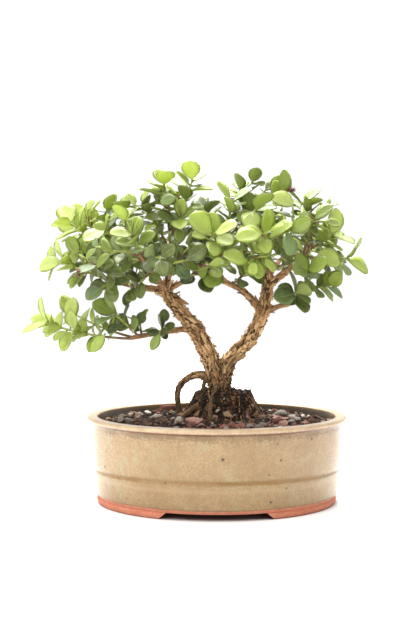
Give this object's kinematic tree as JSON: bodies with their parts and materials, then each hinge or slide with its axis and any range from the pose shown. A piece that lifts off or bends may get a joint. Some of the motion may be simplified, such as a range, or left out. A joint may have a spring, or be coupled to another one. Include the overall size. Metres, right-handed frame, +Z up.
{
  "type": "natal plum bonsai",
  "caption": "Natal plum bonsai with a forked leaning trunk, an arching surface root and round paired leaves, rooted in gritty soil in a low oval glazed pot on curved feet.",
  "frame": {"origin": "middle of the whole plant's footprint box, on the surface that the pot's feet stand on", "axes": "+Z up; the tree's front, the view with both trunks side by side, faces -Y; the long side of the pot runs along X"},
  "size_m": [0.1976, 0.127, 0.196],
  "materials": {
    "stoneware": "mottled beige-brown glaze, with bare terracotta on the feet",
    "screen_mesh": "black plastic drainage mesh",
    "potting_grit": "dark potting soil with pale grit, pebbles and bark chips",
    "bark": "rough, flaking tan bark",
    "leaf_dark": "dark glossy leaves on green stems",
    "leaf_green": "mid-green glossy leaves on green stems",
    "leaf_bright": "young yellow-green glossy leaves on green stems"
  },
  "bodies": {
    "root": {"pot": "stoneware", "drain_screen_left": "screen_mesh", "drain_screen_right": "screen_mesh", "soil": "potting_grit", "trunk": "bark", "shoot_low_left_tip": "leaf_bright", "shoot_low_left_fork": "leaf_bright", "shoot_low_left_up": "leaf_green", "shoot_low_left_bud": "leaf_dark", "shoot_low_left_inner": "leaf_dark", "shoot_left_low_tip": "leaf_bright", "shoot_left_low_front": "leaf_dark", "shoot_left_low_under": "leaf_green", "shoot_left_mid": "leaf_dark", "shoot_left_mid_front": "leaf_dark", "shoot_left_tip": "leaf_bright", "shoot_left_crest_1": "leaf_green", "shoot_left_crest_2": "leaf_green", "shoot_left_crest_3": "leaf_green", "shoot_left_face": "leaf_green", "shoot_left_back": "leaf_green", "shoot_crown_top": "leaf_bright", "shoot_crown_top_left": "leaf_green", "shoot_mid_face": "leaf_green", "shoot_mid_left_crest": "leaf_green", "shoot_mid_back": "leaf_green", "shoot_inner_low": "leaf_dark", "shoot_inner_face": "leaf_dark", "shoot_inner_crest": "leaf_green", "shoot_inner_back": "leaf_green", "shoot_front_spray": "leaf_bright", "shoot_front_dark": "leaf_dark", "shoot_front_right": "leaf_dark", "shoot_front_left": "leaf_dark", "shoot_front_low": "leaf_dark", "shoot_rear_left": "leaf_green", "shoot_rear_mid": "leaf_green", "shoot_rear_side": "leaf_green", "shoot_inner_left_tip": "leaf_green", "shoot_inner_left_face": "leaf_bright", "shoot_inner_left_low": "leaf_bright", "shoot_inner_left_hang": "leaf_green", "shoot_right_top": "leaf_green", "shoot_right_top_2": "leaf_green", "shoot_right_face": "leaf_bright", "shoot_right_crest": "leaf_green", "shoot_right_front_tip": "leaf_bright", "shoot_right_front_low": "leaf_bright", "shoot_right_front_out": "leaf_green", "shoot_right_crest_2": "leaf_green", "shoot_right_crest_3": "leaf_dark", "shoot_right_tip_high": "leaf_bright", "shoot_right_tip_low": "leaf_green", "shoot_low_right_front": "leaf_dark", "shoot_low_right_tip": "leaf_green", "shoot_low_right_up": "leaf_green", "shoot_right_rear_tip": "leaf_green", "shoot_right_rear_mid": "leaf_green", "shoot_right_rear_side": "leaf_green", "shoot_mid_rear_tip": "leaf_green"}
  },
  "joints": []
}
